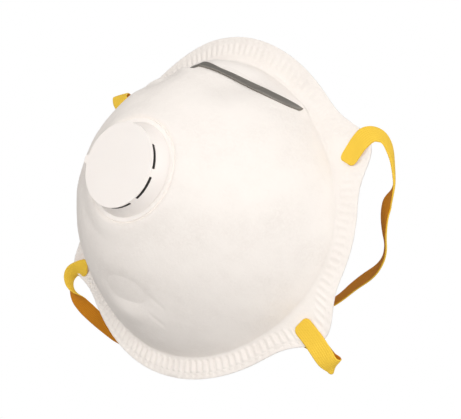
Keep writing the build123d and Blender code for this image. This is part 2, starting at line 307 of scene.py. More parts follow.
def elastic(name, light, dark):
    """Knitted flat elastic: cords along it, a fine cross stitch with painted shade in its grooves, darker
    and glazed where it is welded.
    """
    n = Nodes(name)
    cords = n.coords(uv=True)
    split = n.add("ShaderNodeSeparateXYZ")
    n.link(cords, split.inputs["Vector"])
    across, along = split.outputs["X"], split.outputs["Y"]
    cord_phase = n.math("SINE", n.math("MULTIPLY", across, 2 * math.pi * STRAP_CORDS))
    stitch_turn = n.math("ADD", n.math("MULTIPLY", along, 2 * math.pi / STITCH_MM),
                         n.math("MULTIPLY", across, math.pi * STRAP_CORDS * 2))
    stitch = n.math("SINE", stitch_turn)
    fuzz = n.noise(n.coords(), 2400, 4, 0.6)
    height = n.math("ADD", n.math("MULTIPLY", cord_phase, 0.5), n.math("MULTIPLY", stitch, 0.4))
    height = n.math("ADD", height, n.math("MULTIPLY", fuzz, 0.8))
    # Painted shade: the tone follows the knit's relief, darker in the grooves between cords and stitches;
    # the fuzz in it adds random yarn tone.
    painted_groove_shade = n.ramp(n.math("ADD", n.math("MULTIPLY", height, 0.35), 0.35), [(0.1, BLACK), (0.75, WHITE)])
    tone = n.mix(painted_groove_shade, dark, light)
    weld = n.add("ShaderNodeAttribute", attribute_name="weld")
    glazed = tuple(value * share for value, share in zip(light, WELD_TINT))
    tone = n.mix(weld.outputs["Fac"], tone, glazed)
    return n.set(Base_Color=tone, Roughness=0.85, Sheen_Weight=0.03, Sheen_Roughness=0.5,
                 Specular_IOR_Level=0.12, Normal=n.bump(height, 0.3, 0.00018))


# ---- the cup's shape, in millimetres -------------------------------------------------------------

# Angles go round the cup from the nose: x is radius * sin(phi) and z is radius * cos(phi).
FOOT_SERIES = (61.7, -5.2, 0.0, 0.96, 0.68, -0.2)  # cosine series of the radius at the dome's foot
FLANGE_SERIES = (9.2, 1.3, 0.9)  # the same for the flange's width
TABS = ((8.8, 62.9, 9.75), (8.5, 121.4, 8.45))  # reach, angle from the nose, spread
CHEEK_CURVE, CHIN_CURVE = 0.001, 0.0003
NOSE_FORWARD, NOSE_SPREAD = 3.4, 30.0
CUP_DEPTH = 47.5
BOSS_RADIUS = 19.0
FOOT_FILLET = 2.4
WALL_SLOPE = 2.0
HOLLOW_DEPTH, HOLLOW_ANGLE, HOLLOW_SPREAD = 10.6, 20.5, 13.6
HOLLOW_PLACE, HOLLOW_REACH = 0.86, 0.266
WALL = 3.0
FLANGE_SQUEEZE = 0.5
PORT_RADIUS = 15.3


def bell(value, centre, spread):
    return np.exp(-(((value - centre) / spread) ** 2))


def foot_radius(phi):
    return sum(size * np.cos(order * phi) for order, size in enumerate(FOOT_SERIES))


def rim_radius(phi):
    side = np.abs(np.degrees(phi))
    width = sum(size * np.cos(order * phi) for order, size in enumerate(FLANGE_SERIES))
    tabs = sum(reach * bell(side, angle, spread) for reach, angle, spread in TABS)
    return foot_radius(phi) + width + tabs


def seal_y(x, z):
    """Front of the flange where it lies on the face."""
    turn = np.degrees(np.arctan2(x, z))
    return CHEEK_CURVE * x * x - CHIN_CURVE * z * np.abs(z) - NOSE_FORWARD * bell(turn, 0, NOSE_SPREAD)


def front_y(x, z):
    """Outer surface of the mask over the point (x, z)."""
    phi = np.arctan2(x, z)
    radius = np.hypot(x, z)
    foot = foot_radius(phi)
    outside = radius >= foot
    reach = np.clip((radius - BOSS_RADIUS) / (foot - BOSS_RADIUS), 0, 1)
    base = np.where(outside, seal_y(x, z), seal_y(foot * np.sin(phi), foot * np.cos(phi)))
    shoulder = 1.28 - 0.04 * np.cos(2 * phi)
    crown = 1.325 - 0.19 * np.cos(phi)
    share = (1 - reach ** (2 / shoulder)) ** (crown / 2)
    side = np.abs(np.degrees(phi))
    hollow = HOLLOW_DEPTH * bell(side, HOLLOW_ANGLE, HOLLOW_SPREAD) * 4 * reach * (1 - reach)
    hollow = hollow * bell(reach, HOLLOW_PLACE, HOLLOW_REACH)
    rise = np.where(outside, -WALL_SLOPE * (radius - foot), (base + CUP_DEPTH) * share - hollow)
    return base - (rise + np.hypot(rise, FOOT_FILLET)) / 2


def wall_share(x, z):
    """Share of the wall's thickness that is left: the flange is squeezed by its weld."""
    past_foot = np.hypot(x, z) - foot_radius(np.arctan2(x, z))
    return FLANGE_SQUEEZE + (1 - FLANGE_SQUEEZE) / (1 + np.exp(1.6 * past_foot + 1.5))


def skin(x, z, depth, lift=0.0):
    """Points at a depth behind the outer surface, moved towards the front by lift."""
    step = 0.05
    slope_x = (front_y(x + step, z) - front_y(x - step, z)) / (2 * step)
    slope_z = (front_y(x, z + step) - front_y(x, z - step)) / (2 * step)
    size = np.sqrt(1 + slope_x ** 2 + slope_z ** 2)
    depth = np.asarray(depth, float)
    move = (np.where(depth > 0, depth * wall_share(x, z), depth) - lift) / size
    return np.stack([x - slope_x * move, front_y(x, z) + move, z - slope_z * move], -1)


# ---- straps --------------------------------------------------------------------------------------------

STRAP_WIDTH = 8.0
STRAP_THICKNESS = 0.8
STRAP_CORDS = 9
STITCH_MM = 0.8
WELD_LENGTH, WELD_FADE = 12.0, 3.0
STAMP_REACH, STAMP_RELIEF = (3.2, 8.6), 0.1  # waffle stamped by the welding horn
CORD_RELIEF = 0.03
END_ROUNDING = 2.6
BAND_STEP = 0.6

# Middle lines from the wearer's left, free end on the tab first, to the wearer's right.
UPPER_ROUTE = ((60.1, 2.9, 25.1), (61.9, 3.0, 30.2), (63.4, 3.1, 34.1), (65.5, 3.4, 37.4),
               (67.6, 5.6, 39.0), (71.4, 8.5, 38.0), (74.5, 10.5, 32.4), (76.2, 12.5, 26.4),
               (77.0, 15.0, 19.9), (73.2, 18.0, 13.1), (72.9, 22.0, 4.5), (73.9, 27.0, -2.9),
               (68.6, 34.0, -10.8), (55.4, 43.0, -17.9), (41.4, 52.0, -28.1), (25, 66, -32),
               (0, 71, -34), (-26, 68, -31), (-49, 58, -22), (-66, 46, -10), (-75, 33, 8),
               (-77.5, 22, 26), (-74.9, 13.4, 38.2), (-73.9, 7.6, 40.6), (-70.2, 4.3, 36.9),
               (-67.2, 3.5, 35.0), (-63.1, 3.1, 31.0), (-60.2, 2.9, 25.5))
LOWER_ROUTE = ((58.6, 3.3, -39.3), (64.6, 4.1, -43.2), (69.4, 4.9, -47.0), (74.0, 6.4, -51.3),
               (75.8, 9.5, -51.4), (70.6, 12.5, -49.4), (63.4, 16.5, -46.6), (54.2, 22.0, -44.7),
               (43.6, 28.0, -44.8), (30, 36, -46), (10, 46, -54), (-14, 48, -62),
               (-38, 46, -69), (-58.5, 41.0, -72.1), (-64.0, 32.0, -67.7), (-67.4, 23.0, -63.4),
               (-71.5, 16.0, -58.4), (-72.7, 9.6, -52.3), (-69.1, 4.8, -46.2), (-63.8, 3.4, -43.7),
               (-59.2, 3.0, -41.9))
# The band's width direction at distances along it, from its far end where they are negative:
# it is flat on the tabs and turns as it hangs.
UPPER_FACING = ((0, (0.89, 0, -0.45)), (8, (0.87, 0, -0.49)), (13, (0.79, 0.2, -0.58)),
                (18, (0.3, -0.5, -0.81)), (24, (0.11, -0.96, -0.25)), (31, (0.37, -0.91, -0.2)),
                (38, (0.49, -0.83, -0.26)), (43, (0.51, -0.7, -0.5)), (48, (0.8, -0.39, -0.46)),
                (54, (0.76, -0.57, -0.3)), (60, (0.66, -0.66, -0.35)), (68, (0.5, -0.6, -0.62)),
                (75, (0.3, -0.56, -0.77)), (82, (0.2, -0.5, -0.84)), (104, (0.25, -0.52, -0.82)),
                (114, (0.04, -0.55, -0.84)), (124, (-0.2, -0.54, -0.82)), (-155, (0, -0.7, -0.7)),
                (-100, (0, -0.77, -0.64)), (-55, (-0.3, -0.8, -0.5)), (-32, (-0.68, -0.5, -0.55)),
                (-22, (-0.72, -0.5, -0.5)), (-15, (-0.87, 0, -0.49)), (-1, (-0.89, 0, -0.45)))
LOWER_FACING = ((0, (-0.63, 0, -0.77)), (12, (-0.6, -0.16, -0.78)), (17, (-0.55, -0.04, -0.84)),
                (20, (-0.55, 0.4, -0.73)), (25, (-0.5, 0.6, -0.62)), (36, (-0.5, 0.6, -0.62)),
                (60, (-0.1, -0.6, -0.8)), (-95, (-0.05, 0.3, -0.9)), (-70, (-0.04, 0.66, -0.75)),
                (-45, (-0.68, -0.07, -0.73)), (-34, (-0.69, -0.05, -0.73)),
                (-28, (-0.87, -0.04, -0.48)), (-24, (-0.97, 0.23, -0.07)), (-20, (-0.69, 0.55, 0.47)),
                (-15, (0.07, 0.85, 0.52)), (-10, (0.55, 0.74, -0.39)), (-1, (0.6, 0, -0.8)))


def spline_points(route):
    """Points along the smooth NURBS line that has the route's points as its control points."""
    curve = bpy.data.curves.new("route", "CURVE")
    curve.dimensions = "3D"
    curve.resolution_u = 16
    spline = curve.splines.new("NURBS")
    spline.points.add(len(route) - 1)
    for point, place in zip(spline.points, route):
        point.co = (*[v * MM for v in place], 1)
    spline.order_u = 3
    spline.use_endpoint_u = True
    holder = link(bpy.data.objects.new("route", curve))
    mesh = bpy.data.meshes.new_from_object(holder)
    points = np.array([v.co for v in mesh.vertices]) / MM
    bpy.data.objects.remove(holder)
    bpy.data.meshes.remove(mesh)
    bpy.data.curves.remove(curve)
    return points


def resample(points, step):
    length = np.concatenate([[0], np.cumsum(np.linalg.norm(np.diff(points, axis=0), axis=1))])
    along = np.linspace(0, length[-1], max(2, round(length[-1] / step)))
    return np.stack([np.interp(along, length, points[:, k]) for k in range(3)], -1), along


def band_frame(points, along, facings):
    """Tangent, width direction and face direction at each point of a band."""
    tangent = np.gradient(points, axis=0)
    tangent /= np.linalg.norm(tangent, axis=1)[:, None]
    places = [place if place >= 0 else along[-1] + place for place, direction in facings]
    wide = np.stack([np.interp(along, places, [direction[k] for place, direction in facings])
                     for k in range(3)], -1)
    for k in range(8):
        wide[1:-1] = (wide[:-2] + 2 * wide[1:-1] + wide[2:]) / 4
    wide -= tangent * np.sum(wide * tangent, axis=1)[:, None]
    wide /= np.linalg.norm(wide, axis=1)[:, None]
    return wide, np.cross(wide, tangent)


def band_sections(points, along, facings, across, weld):
    """Outline of the band at each point: one face from edge to edge, then the other one back."""
    wide, out = band_frame(points, along, facings)
    from_end = np.minimum(along, along[-1] - along)
    spot = window(from_end, *STAMP_REACH, 0.5)
    ripple = CORD_RELIEF * np.cos(across * math.pi * STRAP_CORDS)
    edge = np.sqrt(np.clip(1 - np.abs(across) ** 12, 0, 1))
    rounding = np.sqrt(np.clip(1 - (1 - np.clip(from_end / END_ROUNDING, 0, 1)) ** 2, 0.02, 1))
    reach = STRAP_WIDTH / 2 * (0.55 + 0.45 * rounding) * (1 + 0.02 * waves(points, 14, 31))
    thick = STRAP_THICKNESS / 2 * (1 - 0.12 * weld)
    bow = 0.3 * waves(points, 34, 17) * (1 - weld)
    sections = []
    for i in range(len(points)):
        stamp = STAMP_RELIEF * spot[i] * np.cos(across * math.pi * 4) * np.cos(from_end[i] * math.pi * 1.1)
        height = np.outer((thick[i] + ripple * (1 - 0.6 * weld[i]) + stamp) * edge, out[i])
        middle = points[i] + np.outer(across * reach[i], wide[i])
        middle += np.outer(bow[i] * (across ** 2 - 0.4), out[i])
        sections.append(np.concatenate([middle + height, (middle - height)[-2:0:-1]]))
    return np.array(sections)


def end_faces(start, half, sections, flip):
    """Faces that close one end of the band between its two faces."""
    faces = []
    for j in range(half - 1):
        back = (sections - j) % sections
        back_next = half - 1 if j == half - 2 else (sections - j - 1) % sections
        quad = [start + j, start + j + 1, start + back_next, start + back]
        corners = list(dict.fromkeys(quad))
        if len(corners) > 2:
            faces.append(corners[::-1] if flip else corners)
    return faces


def make_strap(name, route, facings, nodes):
    """Flat elastic band along a route, welded to the flange at its two ends."""
    points, along = resample(spline_points(route), BAND_STEP)
    from_end = np.minimum(along, along[-1] - along)
    weld = 1 - smooth_step(from_end, WELD_LENGTH - WELD_FADE, WELD_LENGTH)
    half = 4 * STRAP_CORDS + 1
    across = np.linspace(-1, 1, half)
    ring = band_sections(points, along, facings, across, weld)
    sections = ring.shape[1]
    faces = grid_faces(len(points), sections, True)
    faces += end_faces(0, half, sections, True)
    faces += end_faces((len(points) - 1) * sections, half, sections, False)
    piece = mesh_object(name, ring.reshape(-1, 3), faces)
    point_attribute(piece, "weld", np.repeat(weld[:, None], sections, 1))
    shares = (across + 1) / 2
    uv = np.zeros((len(points), sections, 2))
    uv[:, :, 0] = np.concatenate([shares, shares[-2:0:-1]])[None]
    uv[:, :, 1] = along[:, None]
    add_uv(piece, uv.reshape(-1, 2))
    give(piece, ELASTIC_FRONT, ELASTIC_BACK_PAINTED_SHADE)
    # The back face's quads get the darker copy with its painted shade.
    quad_side = np.tile(np.arange(sections) >= half, len(points) - 1)
    indices = np.concatenate([quad_side, np.zeros(len(faces) - len(quad_side), bool)])
    piece.data.polygons.foreach_set("material_index", indices.astype(np.int32))
    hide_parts(*nodes)
    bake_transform(piece)
    print(name, "length", round(float(along[-1]), 1))


ELASTIC_FRONT = elastic("elastic_front", (0.98, 0.665, 0.08), (0.88, 0.535, 0.046))
# The back face is a darker, browner copy of the elastic: partly the knit's own back side, partly painted
# shade because that face turns from the lights.
ELASTIC_BACK_PAINTED_SHADE = elastic("elastic_back_painted_shade", (0.71, 0.27, 0.016), (0.56, 0.19, 0.010))

make_strap("upper_head_strap", UPPER_ROUTE, UPPER_FACING,
           ("upper_strap", "upper_strap_end_left", "upper_strap_end_right"))
make_strap("lower_head_strap", LOWER_ROUTE, LOWER_FACING,
           ("lower_strap", "lower_strap_end_left", "lower_strap_end_right"))

# ---- cup layers ----------------------------------------------------------------------------------------

CLIP_WIDTH, CLIP_THICKNESS, CLIP_MIDDLE_Z, CLIP_END_X = 4.4, 0.9, 50.0, 38.3
CLIP_LEVEL, CLIP_BEND, CLIP_SLOPE = 7.0, 3.0, 0.29
CLIP_SUNK = 0.25
CLIP_PRESSED = 1.0  # only on the wearer's right, where it was bent hardest
CLIP_LEAN = 1.5  # upper edge raised towards the wearer's left end
ROLL_HEIGHT = 1.45
RIB_PITCH = 3.3
COLUMNS_PER_RIB = 6
# The flange's weld, as distances from the rim and heights where it is pressed hardest.
RIB_BAND, DIMPLE_BAND, GROOVE_BAND = (2.9, 7.4), (1.0, 2.0), (2.25, 2.6)
RIB_HEIGHT, DIMPLE_DEPTH, GROOVE_DEPTH, NOTCH_HEIGHT = 0.21, 0.34, 0.12, 0.05
EDGE_TAPER, EDGE_SHARE = 2.0, 0.3
# Marks of handling: height, place and spread of the dent and the fold, and the pressed creases.
DENT = (-2.4, (-2.5, -46), (11, 5.0))
FOLD = (1.15, (-1, -53.5), (11, 3.6))
CREASES = ((-0.3, (10.5, -45.8), (16.0, -48.1), 0.8), (-0.35, (8.2, -51.7), (12.6, -54.8), 0.75))
COLLAR_HEIGHT, COLLAR_INNER, COLLAR_FADE = 1.5, (20.5, 21.0), (21.4, 30)
# Grids of the layers: rows over the dome and over the flange.
COVER_GRID, LINER_GRID, HIDDEN_GRID = (62, 34), (40, 26), (14, 6)


def rim_columns():
    """Angles evenly spaced along the rim, and the rim length before each."""
    phi = np.linspace(-math.pi, math.pi, 8001)
    rim = rim_radius(phi)
    steps = np.hypot(np.diff(rim * np.sin(phi)), np.diff(rim * np.cos(phi)))
    length = np.concatenate([[0], np.cumsum(steps)])
    ribs = round(length[-1] / RIB_PITCH)
    along = np.linspace(0, length[-1], ribs * COLUMNS_PER_RIB + 1)[:-1]
    return np.interp(along, length, phi), along * ribs / length[-1]


COLUMN_PHI, COLUMN_RIB = rim_columns()


def edge_distance(radius, phi):
    """Distance from the rim, measured square to it."""
    step = 0.002
    rim = rim_radius(phi)
    lean = (rim_radius(phi + step) - rim_radius(phi - step)) / (2 * step) / rim
    return (rim - radius) / np.sqrt(1 + lean ** 2)


def weld_pattern(radius, phi, rib):
    """Relief of the welded flange: pressed ribs square to the edge and a row of dimples outside them."""
    edge = edge_distance(radius, phi)
    past_foot = radius - foot_radius(phi)
    turn = 2 * math.pi * rib
    wave = np.cos(turn)
    ribs = np.tanh(2.2 * wave) * window(edge, *RIB_BAND, 0.5) * smooth_step(past_foot, 0.6, 2.0)
    dimples = np.clip(np.cos(turn + math.pi), 0, 1) ** 1.5 * window(edge, *DIMPLE_BAND, 0.35)
    groove = window(edge, *GROOVE_BAND, 0.3)
    side = np.abs(np.degrees(phi))
    depth = 0.7 + 1.7 * bell(side, 180, 50) + 0.3 * bell(side, 0, 40)
    notches = NOTCH_HEIGHT * wave * window(edge, -0.2, 0.6, 0.2)
    return depth * (RIB_HEIGHT * ribs - DIMPLE_DEPTH * dimples - GROOVE_DEPTH * groove) + notches


def clip_z(x):
    """Height of the clip's middle line: level over the nose, then falling at a steady slope."""
    return CLIP_MIDDLE_Z - CLIP_SLOPE * CLIP_BEND * np.log1p(np.exp((np.abs(x) - CLIP_LEVEL) / CLIP_BEND))


def streak(x, z, start, end, width):
    """1 along the line from start to end, fading across its width and past its ends."""
    ax, az = start
    dx, dz = end[0] - ax, end[1] - az
    size = math.hypot(dx, dz)
    along = ((x - ax) * dx + (z - az) * dz) / size
    across = ((x - ax) * dz - (z - az) * dx) / size
    return np.exp(-((across / width) ** 2)) * window(along, 0, size, 1.5)


def clip_press(x):
    """Depth by which the clip is pressed into the fabric, on the wearer's right."""
    return CLIP_PRESSED * smooth_step(-x, -1, 4)


def clip_lean(x, across):
    """Rise of the clip and of the fabric under it where the clip turns its face to the front."""
    turned = 1.15 * smooth_step(x, 14, 42) - 0.55 * smooth_step(x, 1, 8)
    return CLIP_LEAN * turned * (0.5 + 0.75 * across)


def pressed_strip(x, z):
    """Groove under the nose clip, and the roll of fabric that its bent half pushes up below it."""
    past_end = smooth_step(np.abs(x), CLIP_END_X - 0.5, CLIP_END_X + 1.5)
    below = clip_z(x) - z
    groove = -0.12 * bell(below, 0, CLIP_WIDTH * 0.62)
    bed = 1 - smooth_step(np.abs(below), CLIP_WIDTH / 2 + 0.2, CLIP_WIDTH / 2 + 1.3)
    groove = (groove - 0.8 * clip_press(x) * bed) * (1 - past_end)
    roll = ROLL_HEIGHT * bell(below, CLIP_WIDTH * 0.82, 1.2)
    roll = roll * window(x, -28, -0.5, 6) * smooth_step(-x, -2, 3)
    across = np.clip(-2 * below / CLIP_WIDTH, -1, 1)
    lean = clip_lean(x, across) * (1 - smooth_step(np.abs(below), CLIP_WIDTH / 2, CLIP_WIDTH * 1.6))
    return groove + roll + lean * (1 - smooth_step(x, CLIP_END_X, CLIP_END_X + 5))


def mound(x, z, height, place, spread):
    return height * np.exp(-(((x - place[0]) / spread[0]) ** 2) - (((z - place[1]) / spread[1]) ** 2))


def handling_marks(x, z):
    """Dent, fold and creases in the dome below the valve, and the fabric drawn up round the valve."""
    radius = np.hypot(x, z)
    creases = sum(height * streak(x, z, start, end, width) for height, start, end, width in CREASES)
    collar = COLLAR_HEIGHT * smooth_step(radius, *COLLAR_INNER) * (1 - smooth_step(radius, *COLLAR_FADE))
    return mound(x, z, *DENT) + mound(x, z, *FOLD) + creases + collar + pressed_strip(x, z)


def cup_radii(phi, dome_rows, flange_rows):
    """Radii of the grid's rows, port to rim, one column for each angle."""
    foot, rim = foot_radius(phi)[None], rim_radius(phi)[None]
    boss = np.linspace(PORT_RADIUS, BOSS_RADIUS, 4)[:-1, None] + 0 * foot
    share = np.linspace(0, 1, dome_rows + 1)[:-1, None]
    dome = BOSS_RADIUS + (foot - BOSS_RADIUS) * (1 - (1 - share) ** 1.45)
    flange = foot + (rim - foot) * np.linspace(0, 1, flange_rows)[:, None]
    return np.concatenate([boss, dome, flange])


def layer_side(depth, grid, inset=0.0, relief=None):
    """Grid of points on one side of a layer, its rim drawn in by inset.

    relief gives the share of the weld's pattern and of the handling marks on a side that shows."""
    radius = cup_radii(COLUMN_PHI, *grid)
    phi = np.broadcast_to(COLUMN_PHI, radius.shape)
    rib = np.broadcast_to(COLUMN_RIB, radius.shape)
    foot, rim = foot_radius(phi), rim_radius(phi)
    radius = np.where(radius > foot, foot + (radius - foot) * (rim - inset - foot) / (rim - foot), radius)
    x, z = radius * np.sin(phi), radius * np.cos(phi)
    taper = smooth_step(edge_distance(radius, phi), 0.0, EDGE_TAPER)
    depth = depth * (EDGE_SHARE + (1 - EDGE_SHARE) * taper)
    lift = 0.0
    if relief:
        weld_share, marks_share = relief
        flat = skin(x, z, 0.0)
        body = smooth_step(radius, 22, 30)
        lift = weld_share * weld_pattern(radius, phi, rib) + handling_marks(x, z) * marks_share
        body = body * (1 - bell(clip_z(x) - z, 0, CLIP_WIDTH) * (np.abs(x) < CLIP_END_X + 2))
        lift = lift + 0.16 * body * waves(flat, 24, 3) + 0.05 * body * waves(flat, 6, 5)
        lift = lift + 0.015 * waves(flat, 1.6, 7)
    return skin(x, z, depth, lift)


def layer_mesh(name, front, back):
    """Closed layer from its front and back grids, joined at the port and at the rim."""
    columns = front.shape[1]
    count = front.shape[0] * columns
    faces = grid_faces(front.shape[0], columns, True)
    faces += grid_faces(back.shape[0], columns, True, start=count, flip=True)
    last_front = (front.shape[0] - 1) * columns
    last_back = count + (back.shape[0] - 1) * columns
    for j in range(columns):
        k = (j + 1) % columns
        faces.append((last_front + j, last_front + k, last_back + k, last_back + j))
        faces.append((k, j, count + j, count + k))
    return mesh_object(name, np.concatenate([front.reshape(-1, 3), back.reshape(-1, 3)]), faces)


def make_cup():
    """Four layers from front to back, each between two depths behind the cup's outer surface.

    Only the two faces that show take relief. The hidden faces stay smooth, so the cover's front
    passes through its own back and the filter in the dent and in the clip's bed."""
    cover_white = nonwoven("cover_nonwoven", (0.95, 0.895, 0.845), (0.89, 0.83, 0.78), 1.5)
    liner_white = nonwoven("liner_nonwoven", (0.92, 0.90, 0.87), (0.85, 0.83, 0.80), 1.1, 0.9)
    core_white = nonwoven("core_felt", (0.90, 0.885, 0.86), (0.78, 0.765, 0.74), 2.0, 1.0)
    web_white = nonwoven("filter_web", (0.94, 0.94, 0.94), (0.88, 0.88, 0.88), 0.9)
    layers = (
        ("cup_outer_cover", "outer_cover", "cover_fabric", cover_white,
         layer_side(0.0, COVER_GRID, 0.0, (1.0, 1.0)), layer_side(0.8, HIDDEN_GRID, 0.05)),
        ("cup_filter_media", "filter_media", "filter_fabric", web_white,
         layer_side(0.85, HIDDEN_GRID, 0.1), layer_side(1.25, HIDDEN_GRID, 0.1)),
        ("cup_support_shell", "support_shell", "shell_fabric", core_white,
         layer_side(1.3, HIDDEN_GRID, 0.05), layer_side(2.2, HIDDEN_GRID, 0.05)),
        ("cup_inner_liner", "inner_liner", "liner_fabric", liner_white,
         layer_side(2.25, HIDDEN_GRID, 0.1), layer_side(WALL, LINER_GRID, 0.0, (0.7, 0.6))),
    )
    for name, node, slot, material, front, back in layers:
        piece = layer_mesh(name, front, back)
        give(piece, material)
        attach(piece, "cup")
        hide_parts(node)


# ---- strips that lie on the cup: nose clip and foam ---------------------------------------------

FOAM_WIDTH, FOAM_THICKNESS, FOAM_END_X = 11.0, 3.0, 36.0


def strip_on_cup(name, end_x, outline, section, depth_at, count):
    """Closed strip along the clip's line.

    outline gives half the width at x, section the closed outline of the strip as (across, height)
    from -1 to 1 and 0 to 1, and depth_at the depth behind the cup's surface at (x, across, height)."""
    x = np.linspace(-end_x, end_x, count)
    z = clip_z(x)
    tangent = np.gradient(np.stack([x, z], -1), axis=0)
    tangent /= np.linalg.norm(tangent, axis=1)[:, None]
    side_x, side_z = -tangent[:, 1], tangent[:, 0]
    slope = front_y(x + side_x, z + side_z) - front_y(x, z)
    pace = outline(x) / np.sqrt(1 + slope ** 2)
    ring = np.stack([skin(x + side_x * pace * place, z + side_z * pace * place, depth_at(x, place, height))
                     for place, height in section], 1)
    sections = len(section)
    faces = grid_faces(count, sections, True)
    points = ring.reshape(-1, 3)
    caps = np.stack([ring[0].mean(0), ring[-1].mean(0)])
    for j in range(sections):
        k = (j + 1) % sections
        faces.append((j, len(points), k))
        faces.append(((count - 1) * sections + j, (count - 1) * sections + k, len(points) + 1))
    piece = mesh_object(name, np.concatenate([points, caps]), faces)
    uv = np.zeros((count * sections + 2, 2))
    uv[:-2, 0] = np.repeat(x, sections)
    uv[:-2, 1] = np.tile(np.arange(sections), count)
    add_uv(piece, uv)
    return piece


def rounded_section(count, power):
    """Superellipse outline of a strip, across from -1 to 1 and in height from 0 to 1."""
    turn = np.linspace(0, 2 * math.pi, count, endpoint=False)
    across, height = np.cos(turn), np.sin(turn)
    return list(zip(np.sign(across) * np.abs(across) ** power,
                    0.5 + 0.5 * np.sign(height) * np.abs(height) ** power))


def make_nose_clip():
    def outline(x):
        from_end = (CLIP_END_X - np.abs(x)) / 1.6
        return CLIP_WIDTH / 2 * np.sqrt(np.clip(0.25 + 0.75 * from_end, 0.25, 1))

    def depth_at(x, across, height):
        dings = 0.05 * waves(np.stack([x, 0 * x + across * 2, 0 * x], -1), 7, 41)
        pressed = clip_press(x) - clip_lean(x, across)
        return CLIP_SUNK + pressed - (CLIP_THICKNESS + CLIP_SUNK) * height + dings * height

    clip = strip_on_cup("nose_clip_strip", CLIP_END_X, outline, rounded_section(48, 0.32), depth_at, 260)
    give(clip, rolled_aluminium())
    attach(clip, "cup")
    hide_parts("nose_clip")


def make_nose_foam():
    def outline(x):
        from_end = np.clip((FOAM_END_X - np.abs(x)) / 2.5, 0, 1)
        ragged = 1 + 0.012 * waves(np.stack([x, 0 * x, 0 * x], -1), 3, 43)
        return FOAM_WIDTH / 2 * (0.72 + 0.28 * np.sqrt(from_end)) * ragged

    def depth_at(x, across, height):
        swell = 0.12 * waves(np.stack([x, 0 * x + across * 5, 0 * x], -1), 9, 47)
        crown = 1 - 0.14 * across ** 4
        return WALL + 0.12 + (FOAM_THICKNESS * crown + swell) * height

    foam = strip_on_cup("nose_foam_pad", FOAM_END_X, outline, rounded_section(64, 0.4)[::-1], depth_at, 150)
    give(foam, open_foam())
    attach(foam, "cup")
    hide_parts("nose_foam")


make_cup()
make_nose_clip()
make_nose_foam()

# ---- exhalation valve --------------------------------------------------------------------------------

LID_FRONT, LID_BACK, SILL_Y, SKIRT_FOOT = -56.1, -55.4, -54.0, -48.85
LID_RADIUS, SKIRT_RADIUS, SKIRT_WALL, REBATE_Y = 16.7, 18.9, 1.2, -50.4
LID_HUB, LID_CROWN = 4.0, 0.12
SILL_ROW = 3  # row of the cover's grids at the sill; the next one is at the lid's back
SLOTS, RIB_DEGREES, FIRST_RIB, CLOSED_HALF = 8, 12.0, 1.5, 51.0
LUG_ANGLE, LUG_HALF, LUG_REACH = -91.0, 5.0, 1.6
FLAP_RADIUS, FLAP_TOP, FLAP_BACK, FLAP_THICKNESS = 13.7, 13.1, -50.02, 0.5
LATHE_COLUMNS = 360


def lathe_rows(rows, angles):
    """Grid of points from (radius, y) rows, where a radius may be an array with one value an angle."""
    sine, cosine = np.sin(angles), np.cos(angles)
    return np.stack([np.stack([radius * sine, y + 0 * sine, radius * cosine], -1) for radius, y in rows])


def bevel(piece, width):
    """Round the sharp edges of a moulding and keep its flats flat."""
    modifier = piece.modifiers.new("bevel", "BEVEL")
    modifier.width = width * MM
    modifier.segments = 3
    modifier.limit_method = "ANGLE"
    modifier.angle_limit = math.radians(35)
    modifier.harden_normals = True
    graph = bpy.context.evaluated_depsgraph_get()
    mesh = bpy.data.meshes.new_from_object(piece.evaluated_get(graph))
    piece.modifiers.clear()
    piece.data = mesh


def cover_profiles(angles):
    """Rows of (radius, y) down the outside and the inside of the cover, each from foot to lid or back."""
    from_lug = np.abs(np.degrees(angles) - LUG_ANGLE)
    lid = LID_RADIUS + LUG_REACH * (1 - smooth_step(from_lug, LUG_HALF - 0.8, LUG_HALF + 0.8))
    outer = [(SKIRT_RADIUS, SKIRT_FOOT), (SKIRT_RADIUS - 0.75, SKIRT_FOOT - 1.7),
             (LID_RADIUS + 0.7, SILL_Y + 1.6), (LID_RADIUS, SILL_Y), (lid, LID_BACK), (lid, LID_FRONT),
             (lid - 0.9, LID_FRONT - 0.02), (LID_RADIUS - 3.0, LID_FRONT - 0.06),
             (LID_RADIUS - 7.0, LID_FRONT - 0.10), (LID_HUB, LID_FRONT - LID_CROWN)]
    foot, inner = SKIRT_RADIUS - SKIRT_WALL, LID_RADIUS - SKIRT_WALL
    inside = [(foot, SKIRT_FOOT), (foot, REBATE_Y), (inner + 0.9, SILL_Y + 1.6), (inner, SILL_Y),
              (inner, LID_BACK), (inner - 1.5, LID_BACK), (inner - 4.0, LID_BACK), (LID_HUB, LID_BACK)]
    return outer, inside


def cover_faces(is_rib, outer_rows, inner_rows):
    """Faces of the cover's grid, with an opening from sill to lid wherever there is no rib."""
    count = len(is_rib)
    base = outer_rows * count
    tip = base + inner_rows * count
    root = tip + 1
    last_outer, last_inner = base - count, tip - count
    o_sill, o_top = SILL_ROW * count, (SILL_ROW + 1) * count
    i_sill, i_top = base + o_sill, base + o_top
    faces = []
    for j in range(count):
        k = (j + 1) % count
        for row in range(outer_rows - 1):
            if row == SILL_ROW and not is_rib[j]:
                continue
            a, b = row * count, (row + 1) * count
            faces.append((a + j, b + j, b + k, a + k))
        for row in range(inner_rows - 1):
            if row == SILL_ROW and not is_rib[j]:
                continue
            a, b = base + row * count, base + (row + 1) * count
            faces.append((a + j, a + k, b + k, b + j))
        faces.append((j, k, base + k, base + j))
        faces.append((last_outer + j, tip, last_outer + k))
        faces.append((last_inner + j, last_inner + k, root))
        if not is_rib[j]:
            faces.append((o_sill + j, i_sill + j, i_sill + k, o_sill + k))
            faces.append((o_top + j, o_top + k, i_top + k, i_top + j))
        before = is_rib[j - 1]
        if is_rib[j] and not before:
            faces.append((o_sill + j, i_sill + j, i_top + j, o_top + j))
        if before and not is_rib[j]:
            faces.append((o_sill + j, o_top + j, i_top + j, i_sill + j))
    return faces


